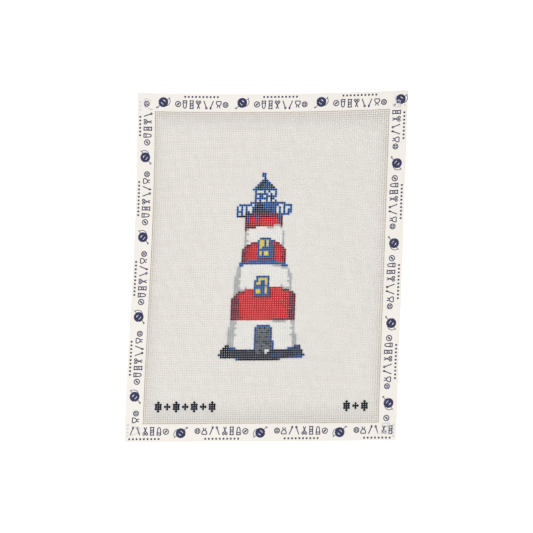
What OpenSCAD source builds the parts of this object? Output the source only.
// A painted needlepoint canvas with taped edges, lying face up.
// Millimetres, +Z up, +Y up the painted picture. The origin is the middle of the
// sheet on the surface that it lies on. The sheet is one piece of open mono canvas,
// cut along its threads and bound by four strips of tape, each folded round an edge.
// The upright threads have pulled a little out of square, so every outline is a
// parallelogram. The picture is counted in threads: one painted crossing is one
// stitch, and each colour of each part of the picture is its own thin coat.

/* [Canvas] */
// Threads to the inch, both ways
mesh_count = 18; // [14:1:22]
// Upright threads across the sheet
columns = 121; // [97:2:161]
// Level threads up the sheet
rows = 155; // [127:2:201]
// Thickness of the woven sheet
canvas_t = 0.8; // [0.5:0.05:1.4]
// Lean of the upright threads out of square, in degrees
skew = 2; // [0:0.25:4]

/* [Edge tape] */
// Thickness of the tape
tape_t = 0.15; // [0.1:0.01:0.3]
// Width of the tape on the painted face
front_flap = 11.2; // [8:0.1:15]
// Width of the tape on the back
back_flap = 13.2; // [8:0.1:17]
// Length in which a tape steps up over the tape below it
step_overlap = 0.4; // [0.2:0.1:1]

/* [Paint] */
// Thickness of a coat of paint
paint_t = 0.1; // [0.05:0.01:0.15]
// Bare gap between two colours that lie side by side
paint_gap = 0.1; // [0.04:0.02:0.3]

/* [Lighthouse, counted in threads] */
// Columns that the rock's middle column lies left of the sheet's
picture_left = 1; // [-5:1:5]
// Rows that the picture's middle lies above the sheet's
picture_rise = 0.5; // [-3:0.5:8]
// Lean of the painted tower back from the upright threads, in degrees
tower_lean = 0.7; // [0:0.1:3]
// Columns from the middle of the rock to its end
rock_half = 19; // [17:1:24]
// Rows in the body of the rock
rock_rows = 5; // [4:1:7]
// Columns from the middle of the tower to its side, on the rock
tower_foot_half = 15.8; // [12:0.1:17]
// Columns from the middle of the tower to its side, under the blue line
waist_half = 12; // [10:0.1:14]
// Columns from the middle of the tower to its side, over the blue line
upper_foot_half = 9.8; // [9:0.1:12]
// Columns from the middle of the tower to its side, under the gallery
tower_top_half = 8; // [7:0.1:9]
// Rows of the lower white wall, from the rock up
lower_wall_rows = 13; // [12:1:18]
// Rows of the lower red band
lower_band_rows = 14; // [10:1:18]
// Rows of the middle white wall
middle_wall_rows = 11; // [8:1:14]
// Rows of the blue line under the middle red band
trim_rows = 1; // [1:1:2]
// Rows of the middle red band
middle_band_rows = 9; // [7:1:12]
// Rows of the upper white wall
upper_wall_rows = 7; // [4:1:9]
// Rows of the upper red band
upper_band_rows = 6; // [5:1:9]
// Rows that a band's rounded head drops from its middle to its ends
head_bow = 4; // [0:0.2:6]
// Rows that the blue line drops from its middle to its ends
line_bow = 1.5; // [0:0.1:3]
// Rows that the lower red band's head rises for each column to the right
lower_slant = 0.05; // [0:0.01:0.1]
// Rows that the middle red band's head rises for each column to the right
middle_slant = 0.08; // [0:0.01:0.14]
// Rows that the upper red band's foot rises for each column to the right
upper_slant = 0.14; // [0:0.01:0.2]
// Columns of shading on the left of the tower, under the gallery
shade_least = 1.6; // [1:0.1:3]
// Columns of shading gained for each column of the tower's half width
shade_growth = 0.4; // [0.2:0.05:0.7]

// Columns from the middle to where a stripe's level edges are shaded too
edge_shade_from = 8; // [5:1:12]

/* [Openings of the lighthouse, counted in threads] */
// Half of the door's columns with its surround
door_half = 4; // [3:1:5]
// Rows in which the door's surround is a column wider to the right
door_splay_rows = 4; // [0:1:8]
// Rows of the door with its surround
door_rows = 11; // [8:1:12]
// Columns from the middle of a window to the edge of its frame
window_half = 3; // [2:1:4]
// Rows of a window with its frame
window_rows = 9; // [7:2:11]
// Rows that the lower window's sill lies below the head of its band
lower_window_drop = 3; // [0:1:6]
// Columns from the tower's middle to the lower window's
lower_window_shift = -1; // [-4:1:4]
// Rows that the upper window's sill lies above the blue line
upper_window_rise = 2; // [1:1:5]
// Columns from the tower's middle to the upper window's
upper_window_shift = 1; // [-2:1:2]

/* [Gallery and lantern, counted in threads] */
// Columns from the middle to the gallery's last post
gallery_half = 12; // [10:2:14]
// Rows of the gallery's railing
rail_rows = 5; // [4:1:8]
// Rows that a bracket hangs below the gallery
bracket_rows = 3; // [2:1:4]
// Columns from the middle to the side of the lantern
lantern_half = 4; // [4:2:6]
// Rows of the watch room under the glass
watch_rows = 4; // [3:1:7]
// Rows of the lantern's glass
glass_rows = 5; // [3:2:7]
// Rows of the finial above the roof
finial_rows = 3; // [2:1:5]

/* [Stitched marks, counted in threads] */
// Rows from the sheet's lower edge to the marks
mark_row = 13; // [11:1:16]
// Columns from the sheet's side to the outer mark of each row
mark_inset = 13; // [11:1:18]
// Marks in the left row
left_mark_count = 7; // [3:1:8]
// Marks in the right row
right_mark_count = 3; // [1:1:5]

/* [Hidden] */
inch = 25.4;
pitch = inch / mesh_count;
sheet_w = columns * pitch;
sheet_l = rows * pitch;

// Heights above the table. The corners carry two tapes on each face, so they are
// the lowest and the highest places.
canvas_z = 2 * tape_t;
face_z = canvas_z + canvas_t;

// Rows of the picture, counted up from the rock's foot
lower_band_v = rock_rows + lower_wall_rows;
middle_wall_v = lower_band_v + lower_band_rows;
trim_v = middle_wall_v + middle_wall_rows;
middle_band_v = trim_v + trim_rows;
upper_wall_v = middle_band_v + middle_band_rows;
upper_band_v = upper_wall_v + upper_wall_rows;
gallery_v = upper_band_v + upper_band_rows;
glass_v = gallery_v + 1 + watch_rows;
roof_v = glass_v + glass_rows;
eave_half = lantern_half + 1;
finial_v = roof_v + eave_half;
picture_rows = finial_v + finial_rows;
lower_window_row = middle_wall_v - lower_window_drop;
upper_window_row = middle_band_v + upper_window_rise;

// The picture's place on the sheet
foot_column = floor(columns / 2) - picture_left;
foot_row = round((rows - picture_rows) / 2 + picture_rise);

mark_columns = 3;
mark_rows = 5;
mark_step = mark_columns + 1;
right_mark_column = columns - mark_inset - right_mark_count * mark_step + 1;

blue = "#2a5a96";
black = "#23262e";
red = "#c4242f";
maroon = "#701838";
grey = "#b4b8b9";
white = "#f2f1ec";
yellow = "#eccf56";
slate = "#6f767a";
thread = "#e9e6df";
tape = "#efeade";

// ---- the leaning sheet ----

// A place on the sheet: x along a level thread and y up the rows, from the lower
// left corner, moved with the lean so that the sheet's middle is the origin.
function place(x, y) = [
    x - sheet_w / 2 + (y - sheet_l / 2) * tan(skew),
    y - sheet_l / 2
];

// A flat piece of the sheet between two columns' and two rows' edges
module leaf(x0, x1, y0, y1) {
    polygon([place(x0, y0), place(x1, y0), place(x1, y1), place(x0, y1)]);
}

module slab(x0, x1, y0, y1, z0, z1) {
    translate([0, 0, z0]) linear_extrude(z1 - z0) leaf(x0, x1, y0, y1);
}

// ---- canvas and tape ----

module canvas() {
    color(thread) slab(0, sheet_w, 0, sheet_l, canvas_z, face_z);
}

// A strip folded round the left edge, over the whole length of the sheet
module tape_left() {
    color(tape) {
        slab(0, front_flap, 0, sheet_l, face_z, face_z + tape_t);
        slab(0, back_flap, 0, sheet_l, canvas_z - tape_t, canvas_z);
        slab(-tape_t, 0, 0, sheet_l, canvas_z - tape_t, face_z + tape_t);
    }
}

module tape_right() {
    color(tape) {
        slab(sheet_w - front_flap, sheet_w, 0, sheet_l, face_z, face_z + tape_t);
        slab(sheet_w - back_flap, sheet_w, 0, sheet_l, canvas_z - tape_t, canvas_z);
        slab(sheet_w, sheet_w + tape_t, 0, sheet_l, canvas_z - tape_t, face_z + tape_t);
    }
}

// Both ends of a strip that crosses the side tapes, from the sheet's sides to just
// past a side tape that is side_w wide
module over_sides(side_w, y0, y1, z0, z1) {
    slab(-tape_t, side_w + step_overlap, y0, y1, z0, z1);
    slab(sheet_w - side_w - step_overlap, sheet_w + tape_t, y0, y1, z0, z1);
}

// One flap of a crossing strip. It lies on the canvas at low_z, and steps up or down
// to step_z over the side tapes.
module crossing_flap(side_w, y0, y1, low_z, step_z) {
    slab(side_w, sheet_w - side_w, y0, y1, low_z, low_z + tape_t);
    over_sides(side_w, y0, y1, step_z, step_z + tape_t);
}

// The fold of a crossing strip, round the edge of the canvas and of the side tapes
module crossing_fold(y0, y1) {
    slab(-tape_t, sheet_w + tape_t, y0, y1, canvas_z - tape_t, face_z + tape_t);
    over_sides(back_flap, y0, y1, canvas_z - 2 * tape_t, canvas_z);
    over_sides(front_flap, y0, y1, face_z, face_z + 2 * tape_t);
}

module tape_top() {
    color(tape) {
        crossing_flap(front_flap, sheet_l - front_flap, sheet_l, face_z, face_z + tape_t);
        crossing_flap(back_flap, sheet_l - back_flap, sheet_l, canvas_z - tape_t, canvas_z - 2 * tape_t);
        crossing_fold(sheet_l, sheet_l + tape_t);
    }
}

module tape_bottom() {
    color(tape) {
        crossing_flap(front_flap, 0, front_flap, face_z, face_z + tape_t);
        crossing_flap(back_flap, 0, back_flap, canvas_z - tape_t, canvas_z - 2 * tape_t);
        crossing_fold(-tape_t, 0);
    }
}

// ---- the picture's chart ----

// k counts columns to the right of the tower's middle column, and v counts rows up
// from the rock's foot.

function middle_column(v) = foot_column - round(v * tan(tower_lean));

// Columns from the tower's true middle, which leans, to the middle of column k
function off_middle(k, v) = k + middle_column(v) - foot_column + v * tan(tower_lean);

// The walls taper to the blue line, and again from there to the gallery
function taper(v, v0, v1, half0, half1) = half0 + (half1 - half0) * (v - v0) / (v1 - v0);
function wall_half(v) =
    v < trim_v
    ? taper(v, rock_rows, trim_v, tower_foot_half, waist_half)
    : taper(v, trim_v, gallery_v, upper_foot_half, tower_top_half);

// A level line of the tower, which drops towards both sides. The power is 2 for an
// even bow and 4 for a rounded head.
function line_row(k, row, half, bow, power, slant) =
    row + slant * k - bow * pow(abs(k) / half, power);

function upper_band_foot(k) =
    line_row(k, upper_band_v - 0.4, tower_top_half, line_bow / 2, 2, upper_slant);
function middle_band_head(k) =
    line_row(k, upper_wall_v, upper_foot_half, head_bow, 4, middle_slant);
function trim_head(k) = line_row(k, middle_band_v + 0.6, upper_foot_half, line_bow, 2, 0);
function trim_foot(k) = trim_head(k) - trim_rows - 0.6;
function lower_band_head(k) =
    line_row(k, middle_wall_v, wall_half(lower_band_v), head_bow, 4, lower_slant);

// The tower's stripes, from the top down. A wall tapers and a band's sides are
// straight: [is the stitch above the stripe's foot, its half width, name, name of
// its shading, is it a band]
function stripe_at(k, v) =
    v >= upper_band_foot(k) ? [wall_half(upper_band_v), "upper_band", "upper_band_shade", true]
    : v >= middle_band_head(k) ? [wall_half(v), "upper_wall", "upper_wall_shade", false]
    : v >= trim_head(k) ? [upper_foot_half, "middle_band", "middle_band_shade", true]
    : v >= trim_foot(k) ? [upper_foot_half + 1, "band_trim", "band_trim", true]
    : v >= lower_band_head(k) ? [wall_half(v), "middle_wall", "middle_wall_shade", false]
    : v >= lower_band_v ? [wall_half(lower_band_v), "lower_band", "lower_band_shade", true]
    : [wall_half(v), "lower_wall", "lower_wall_shade", false];

// A number from 0 to 1 that looks random, and is always the same for one stitch
function speckle(k, v) =
    let (s = sin(k * 127.1 + v * 311.7) * 43.5)
    s - floor(s);

// Shading down both sides, wider on the left. Its edge wanders by half a column.
function shade_columns(half, v) =
    shade_least + shade_growth * (half - tower_top_half) + 0.6 * sin(v * 137);
function in_side_shade(k, v, half, share) =
    let (columns = share * shade_columns(half, v), across = off_middle(k, v))
    across < columns - half || across > half - 0.6 * columns;

function in_box(k, v, half, v0, v1) = abs(k) <= half && v >= v0 && v < v1;

// A window's stitches, i rows above its sill, with some rows cut off its upper left
// and right corners, and the stitches under and right of a window
function in_window(k, i, left_cut, right_cut) =
    in_box(k, i, window_half, 0, window_rows)
    && !(k == -window_half && i >= window_rows - left_cut)
    && !(k == window_half && i >= window_rows - right_cut);
function in_lower_window(k, v) =
    in_window(k - lower_window_shift, v - lower_window_row, 2, 0);
function in_upper_window(k, v) =
    in_window(k - upper_window_shift, v - upper_window_row, 1, 1);
function near_window(k, v, v0) =
    k >= -window_half && in_box(k, v, window_half + 1, v0 - 1, v0 + window_rows - 3);

// Its lit panes. The lower window has a curl of light over a transom at half height,
// and a pane in both lower corners. The upper one is seen from one side, with a wide
// right jamb and a mullion that jogs at the transom.
transom = floor(window_rows / 2);
function in_light(k, i) = abs(k) < window_half && i > 0 && i < window_rows - 1;
function lower_light(k, i) =
    in_light(k, i) && i != transom
    && (k == window_half - 1
        || (k < 0 && i < transom - 1)
        || (i == window_rows - 2 && k > 1 - window_half)
        || (i == transom + 1 && k < 3 - window_half)
        || (i == transom + 2 && k == 2 - window_half));
function upper_light(k, i) =
    in_light(k, i) && k < window_half - 1
    && (i > transom ? k != 0
        : i == transom ? k == 1 - window_half
        : i < transom - 1 && k != 2 - window_half);

// The door: its surround is a column wider to the right near the ground, and its
// threshold is cut two rows into the rock.
door_head = rock_rows + door_rows - 1;
function door_right(v) = v < rock_rows + door_splay_rows ? door_half + 1 : door_half;
function in_door(k, v) =
    (v >= rock_rows && v < door_head && k > -door_half && k <= door_right(v))
    || (v == door_head && k > 1 - door_half && k < door_half)
    || (v >= rock_rows - 2 && v < rock_rows && k > 1 - door_half && k < door_half - 2);
function on_door_surround(k, v) =
    v == door_head || (v >= rock_rows && (k == 1 - door_half || k == door_right(v)));
function in_glint(k, v) =
    (v == rock_rows - 1 && (k == door_half - 2 || k == door_half - 1))
    || (v == rock_rows - 2 && k == door_half - 2);

// The rock: narrower in its first row, and higher towards both ends
function rock_foot(k) =
    k >= 8 - rock_half && k <= rock_half - 11 ? 0 : abs(k) < rock_half ? 1 : 2;
function rock_head(k) =
    let (inset = rock_half - abs(k))
    inset == 0 ? rock_rows - 3
    : inset == 1 ? rock_rows - 1
    : k < 0 && (inset == 3 || inset == 4) || k > 0 && inset <= 4 ? rock_rows + 1
    : inset < 8 ? rock_rows
    : rock_rows - 1;
function in_rock(k, v) = abs(k) <= rock_half && v >= rock_foot(k) && v <= rock_head(k);
function rock_lit(k, v) =
    abs(k) == rock_half
    || (v == 0 && (k < 10 - rock_half || k == rock_half - 11))
    || (v == rock_head(k) && abs(k) > rock_half - 8 && abs(k) < rock_half - 4)
    || (v == rock_head(k) && speckle(k, v) > 0.8)
    || (k > door_half && v > 0 && speckle(k, v) > 0.7);

// The gallery's deck: level in the middle, and stepped down to the left
function deck_drop(k) = k < -eave_half ? ceil((-k - eave_half) / 3) : 0;
function in_deck(k, v) =
    (v == gallery_v - deck_drop(k) && k > -gallery_half && k <= eave_half
        && k != lantern_half)
    || (v == gallery_v + 1 && abs(k + 2) < 3 && k != -2);

// The railing: a head rail that steps towards the watch room, posts, and braces at
// the foot. On the left the posts stand in every other column.
rail_head_v = gallery_v + rail_rows - 2;
rail_step = gallery_half - 3;
function in_left_rail(a, v) =
    (v == rail_head_v && a > eave_half && a < gallery_half)
    || (v == rail_head_v + 1 && a >= eave_half && a < eave_half + 2)
    || (v < rail_head_v && v > gallery_v - deck_drop(-a)
        && a % 2 == 0 && a > eave_half + 1 && a <= gallery_half)
    || (v == gallery_v && (a == gallery_half - 1 || a == eave_half + 2));

// On the right there are fewer posts, the last one doubled at its foot
function in_right_rail(a, v) =
    (v == rail_head_v + 1 && a > eave_half && a <= rail_step)
    || (v == rail_head_v && (a == eave_half + 1 || (a >= rail_step && a <= gallery_half)))
    || (v < rail_head_v && v >= gallery_v
        && (a == eave_half + 2 || a == rail_step || a == gallery_half))
    || (v < gallery_v + 2 && v >= gallery_v && a == gallery_half - 1)
    || (v == gallery_v - 1 && a > eave_half + 1 && a < gallery_half);
function in_rail(k, v) = k < 0 ? in_left_rail(-k, v) : in_right_rail(k, v);
bracket_columns = [-floor(tower_top_half - 1), 1 - lantern_half, floor(tower_top_half - 1)];
function in_bracket(k, v) =
    let (top = gallery_v - 1)
    (v == top && (k == -lantern_half || k == lantern_half - 1))
    || (v < top && v >= top - bracket_rows && len(search(k, bracket_columns)) > 0);

// The lantern and the watch room under it reach one column further on the right
function in_room(k, v, first, end) =
    v >= first && v < end && k >= -lantern_half && k <= lantern_half + 1;

// The watch room's lower rows are wider on the left too. It's dark on the left and
// down one column on the right.
function in_watch_room(k, v) =
    in_room(k, v, gallery_v, glass_v)
    || (k == -lantern_half - 1 && v >= gallery_v && v < gallery_v + 3);
function watch_shaded(k, v) =
    (v > gallery_v + 1 && k > -lantern_half && k < (v == glass_v - 1 ? -1 : 0))
    || (v < gallery_v + 3 && k == lantern_half - 1)
    || (v == glass_v - 1 && k == lantern_half);

// The lantern's glazing bars: a post at each side, level bars in every other row
// that stop short on the right, and the posts between panes, a list for each row
pane_posts = [[-2, 1, 3], [3, 4], [-2, -1, 1, 2, 3, 4], [3], [0, 2]];
function in_lantern(k, v) = in_room(k, v, glass_v, roof_v);
function lantern_shaded(k, v) =
    k == lantern_half - 1 && v > glass_v && v < glass_v + 3;
function on_glazing_bar(k, v) =
    let (i = v - glass_v)
    k == -lantern_half
    || (k == lantern_half + 1 && i != 1)
    || (i % 2 == 1 && k < 2)
    || len(search(k, pane_posts[i % len(pane_posts)])) > 0;

// The roof: a row narrower at each step, with dark stitches inside both slopes
function roof_half(v) = eave_half - (v - roof_v);
function in_roof(k, v) = v >= roof_v && v < finial_v && abs(k) <= roof_half(v);
function roof_shaded(k, v) =
    v > roof_v
    && (k == 1 - roof_half(v) || (k == 2 - roof_half(v) && k < 1)
        || (k > lantern_half - 2 && v < roof_v + 3) || (k == 0 && v == finial_v - 1));

// A stem with a small vane beside its top
function in_finial(k, v) =
    v >= finial_v && v < picture_rows && (k == 0 || (k == -1 && v > finial_v));

// Is stitch v of a column the last one under a line, or the first one over it?
function just_under(v, line) = v < line && v + 1 >= line;
function just_over(v, line) = v >= line && v - 1 < line;

// Red is darker under a window, under the gallery, along the middle band's head, on
// the left of the upper band's foot and along the lower band's head and foot
function band_shaded(k, v) =
    near_window(k - lower_window_shift, v, lower_window_row)
    || near_window(k - upper_window_shift, v, upper_window_row)
    || v >= gallery_v - 2
    || just_under(v, middle_band_head(k))
    || (just_under(v, lower_band_head(k)) && abs(k) > edge_shade_from)
    || (v == lower_band_v && k > edge_shade_from / 2)
    || (just_over(v, upper_band_foot(k)) && k < -1);

// White is greyer towards the sides, next to the blue line and to the lower band
function wall_shaded(k, v) =
    (just_under(v, trim_foot(k)) && k > edge_shade_from / 2)
    || (just_under(v, upper_band_foot(k)) && k > 1)
    || (just_over(v, lower_band_head(k)) && abs(k) > edge_shade_from - 1)
    || (v == lower_band_v - 1 && k > edge_shade_from / 2 && k < edge_shade_from + 3);
function tower_area(k, v) =
    let (stripe = stripe_at(k, v), half = stripe[0], is_band = stripe[3])
    v < rock_rows - 1 || v >= gallery_v || abs(off_middle(k, v)) > half ? "bare"
    : in_side_shade(k, v, half, is_band ? 1 : 0.7) ? stripe[2]
    : is_band && band_shaded(k, v) || !is_band && wall_shaded(k, v) ? stripe[2]
    : stripe[1];

// The name of the painted area that a stitch belongs to. Where two would share a
// stitch, the first one named here is painted over the other.
function area_at(k, v) =
    in_finial(k, v) ? "finial"
    : in_roof(k, v) ? (roof_shaded(k, v) ? "roof_shade" : "roof")
    : in_rail(k, v) ? (k < 0 ? "gallery_rail_left" : "gallery_rail_right")
    : in_lantern(k, v) ? (lantern_shaded(k, v) ? "watch_room_shade"
        : on_glazing_bar(k, v) ? "lantern_frame" : "lantern_glass")
    : in_deck(k, v) ? "gallery_deck"
    : in_watch_room(k, v) ? (watch_shaded(k, v) ? "watch_room_shade" : "watch_room")
    : in_bracket(k, v) ? "gallery_brackets"
    : in_glint(k, v) ? "doorstep_glint"
    : in_door(k, v) ? (on_door_surround(k, v) ? "door_surround"
        : speckle(k, v) > 0.7 ? "door_shadow" : "door")
    : in_rock(k, v) ? (rock_lit(k, v) ? "rock_highlight" : "rock")
    : in_lower_window(k, v)
        ? (lower_light(k - lower_window_shift, v - lower_window_row)
            ? "lower_window_light" : "lower_window_frame")
    : in_upper_window(k, v)
        ? (upper_light(k - upper_window_shift, v - upper_window_row)
            ? "upper_window_light" : "upper_window_frame")
    : tower_area(k, v);

// The last stitch of the run of one area that starts at k
function run_end(k, v, name) = area_at(k + 1, v) == name ? run_end(k + 1, v, name) : k;

// A level run of stitches, from column c0 to column c1 of one row. Runs of one area
// in neighbouring rows join along their edges.
module run(c0, c1, row) {
    leaf(c0 * pitch + paint_gap / 2, (c1 + 1) * pitch - paint_gap / 2, row * pitch, (row + 1) * pitch);
}

module coat() {
    translate([0, 0, face_z]) linear_extrude(paint_t) children();
}

module painted(name) {
    coat()
        for (v = [0 : picture_rows - 1], k = [-rock_half : rock_half])
            if (area_at(k, v) == name && area_at(k - 1, v) != name)
                run(middle_column(v) + k, middle_column(v) + run_end(k, v, name), foot_row + v);
}

module rock() color(black) painted("rock");
module rock_highlight() color(blue) painted("rock_highlight");
module doorstep_glint() color(white) painted("doorstep_glint");
module door() color(slate) painted("door");
module door_shadow() color(black) painted("door_shadow");
module door_surround() color(blue) painted("door_surround");
module lower_wall() color(white) painted("lower_wall");
module lower_wall_shade() color(grey) painted("lower_wall_shade");
module lower_band() color(red) painted("lower_band");
module lower_band_shade() color(maroon) painted("lower_band_shade");
module lower_window_frame() color(blue) painted("lower_window_frame");
module lower_window_light() color(yellow) painted("lower_window_light");
module middle_wall() color(white) painted("middle_wall");
module middle_wall_shade() color(grey) painted("middle_wall_shade");
module band_trim() color(blue) painted("band_trim");
module middle_band() color(red) painted("middle_band");
module middle_band_shade() color(maroon) painted("middle_band_shade");
module upper_window_frame() color(blue) painted("upper_window_frame");
module upper_window_light() color(yellow) painted("upper_window_light");
module upper_wall() color(white) painted("upper_wall");
module upper_wall_shade() color(grey) painted("upper_wall_shade");
module upper_band() color(red) painted("upper_band");
module upper_band_shade() color(maroon) painted("upper_band_shade");
module gallery_brackets() color(blue) painted("gallery_brackets");
module gallery_deck() color(black) painted("gallery_deck");
module gallery_rail_left() color(blue) painted("gallery_rail_left");
module gallery_rail_right() color(blue) painted("gallery_rail_right");
module watch_room() color(blue) painted("watch_room");
module watch_room_shade() color(black) painted("watch_room_shade");
module lantern_frame() color(blue) painted("lantern_frame");
module lantern_glass() color(white) painted("lantern_glass");
module roof() color(blue) painted("roof");
module roof_shade() color(black) painted("roof_shade");
module finial() color(blue) painted("finial");

// ---- the stitched marks ----

// Beads and crosses in turn, each three columns wide and up to five rows tall
function bead_run(y) = y == 0 || y == mark_rows - 1 ? [1, 1] : [0, 2];
module bead(column) {
    for (y = [0 : mark_rows - 1])
        run(column + bead_run(y)[0], column + bead_run(y)[1], mark_row + y);
}
module cross(column) {
    for (y = [1 : mark_rows - 2])
        run(column + (y == 2 ? 0 : 1), column + (y == 2 ? 2 : 1), mark_row + y);
}
module marks(first_column, count) {
    coat()
        for (i = [0 : count - 1])
            if (i % 2 == 0) bead(first_column + i * mark_step);
            else cross(first_column + i * mark_step);
}
module mark_left() color(black) marks(mark_inset, left_mark_count);
module mark_right() color(black) marks(right_mark_column, right_mark_count);

canvas();
tape_left();
tape_right();
tape_top();
tape_bottom();
rock();
rock_highlight();
doorstep_glint();
door();
door_shadow();
door_surround();
lower_wall();
lower_wall_shade();
lower_band();
lower_band_shade();
lower_window_frame();
lower_window_light();
middle_wall();
middle_wall_shade();
band_trim();
middle_band();
middle_band_shade();
upper_window_frame();
upper_window_light();
upper_wall();
upper_wall_shade();
upper_band();
upper_band_shade();
gallery_brackets();
gallery_deck();
gallery_rail_left();
gallery_rail_right();
watch_room();
watch_room_shade();
lantern_frame();
lantern_glass();
roof();
roof_shade();
finial();
mark_left();
mark_right();
